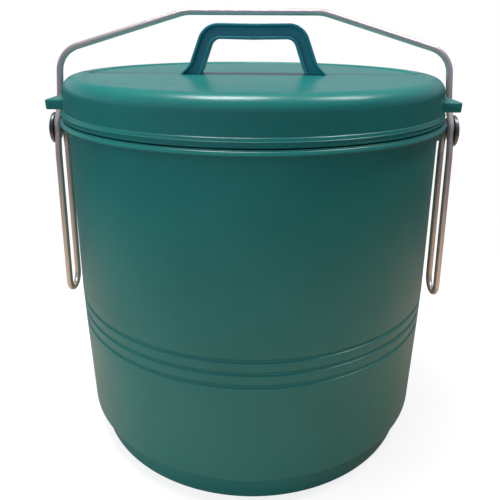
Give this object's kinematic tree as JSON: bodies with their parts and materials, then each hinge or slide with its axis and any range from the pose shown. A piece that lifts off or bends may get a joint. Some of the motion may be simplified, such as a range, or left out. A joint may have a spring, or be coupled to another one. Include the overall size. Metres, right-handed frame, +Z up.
{
  "type": "kitchen compost bin",
  "caption": "Round plastic kitchen compost pail with a deep domed-edge lid, an arched lid handle and a steel wire bail whose long loops slide on side rivets.",
  "frame": {"origin": "centre of the base, on the surface that the pail stands on", "axes": "+X to the right through both rivets, -Y the front, +Z up"},
  "size_m": [0.2784, 0.25, 0.2798],
  "materials": {
    "green_plastic": "satin injection-moulded plastic with a soft gloss",
    "wire_steel": "bright drawn wire",
    "rivet_steel": "smooth dark steel"
  },
  "bodies": {
    "pail": {"pail": "green_plastic"},
    "lid": {"lid": "green_plastic", "lid_handle": "green_plastic"},
    "bail_pivots": {"left_rivet": "rivet_steel", "right_rivet": "rivet_steel", "left_washer": "rivet_steel", "right_washer": "rivet_steel"},
    "bail": {"bail": "wire_steel"}
  },
  "joints": [
    {"name": "lid_lift", "type": "slide", "parent": "pail", "child": "lid", "axis": [0, 0, 1], "range_m": [0, 0.11]},
    {"name": "bail_swing", "type": "hinge", "parent": "pail", "child": "bail_pivots", "pos_m": [0, 0, 0.2004], "axis": [-1, 0, 0], "range_deg": [-45, 45]},
    {"name": "bail_slide", "type": "slide", "parent": "bail_pivots", "child": "bail", "axis": [0, 0, 1], "range_m": [0, 0.11]}
  ],
  "couplings": [
    {"joint": "bail_slide", "follows": "lid_lift", "ratio": 1}
  ]
}
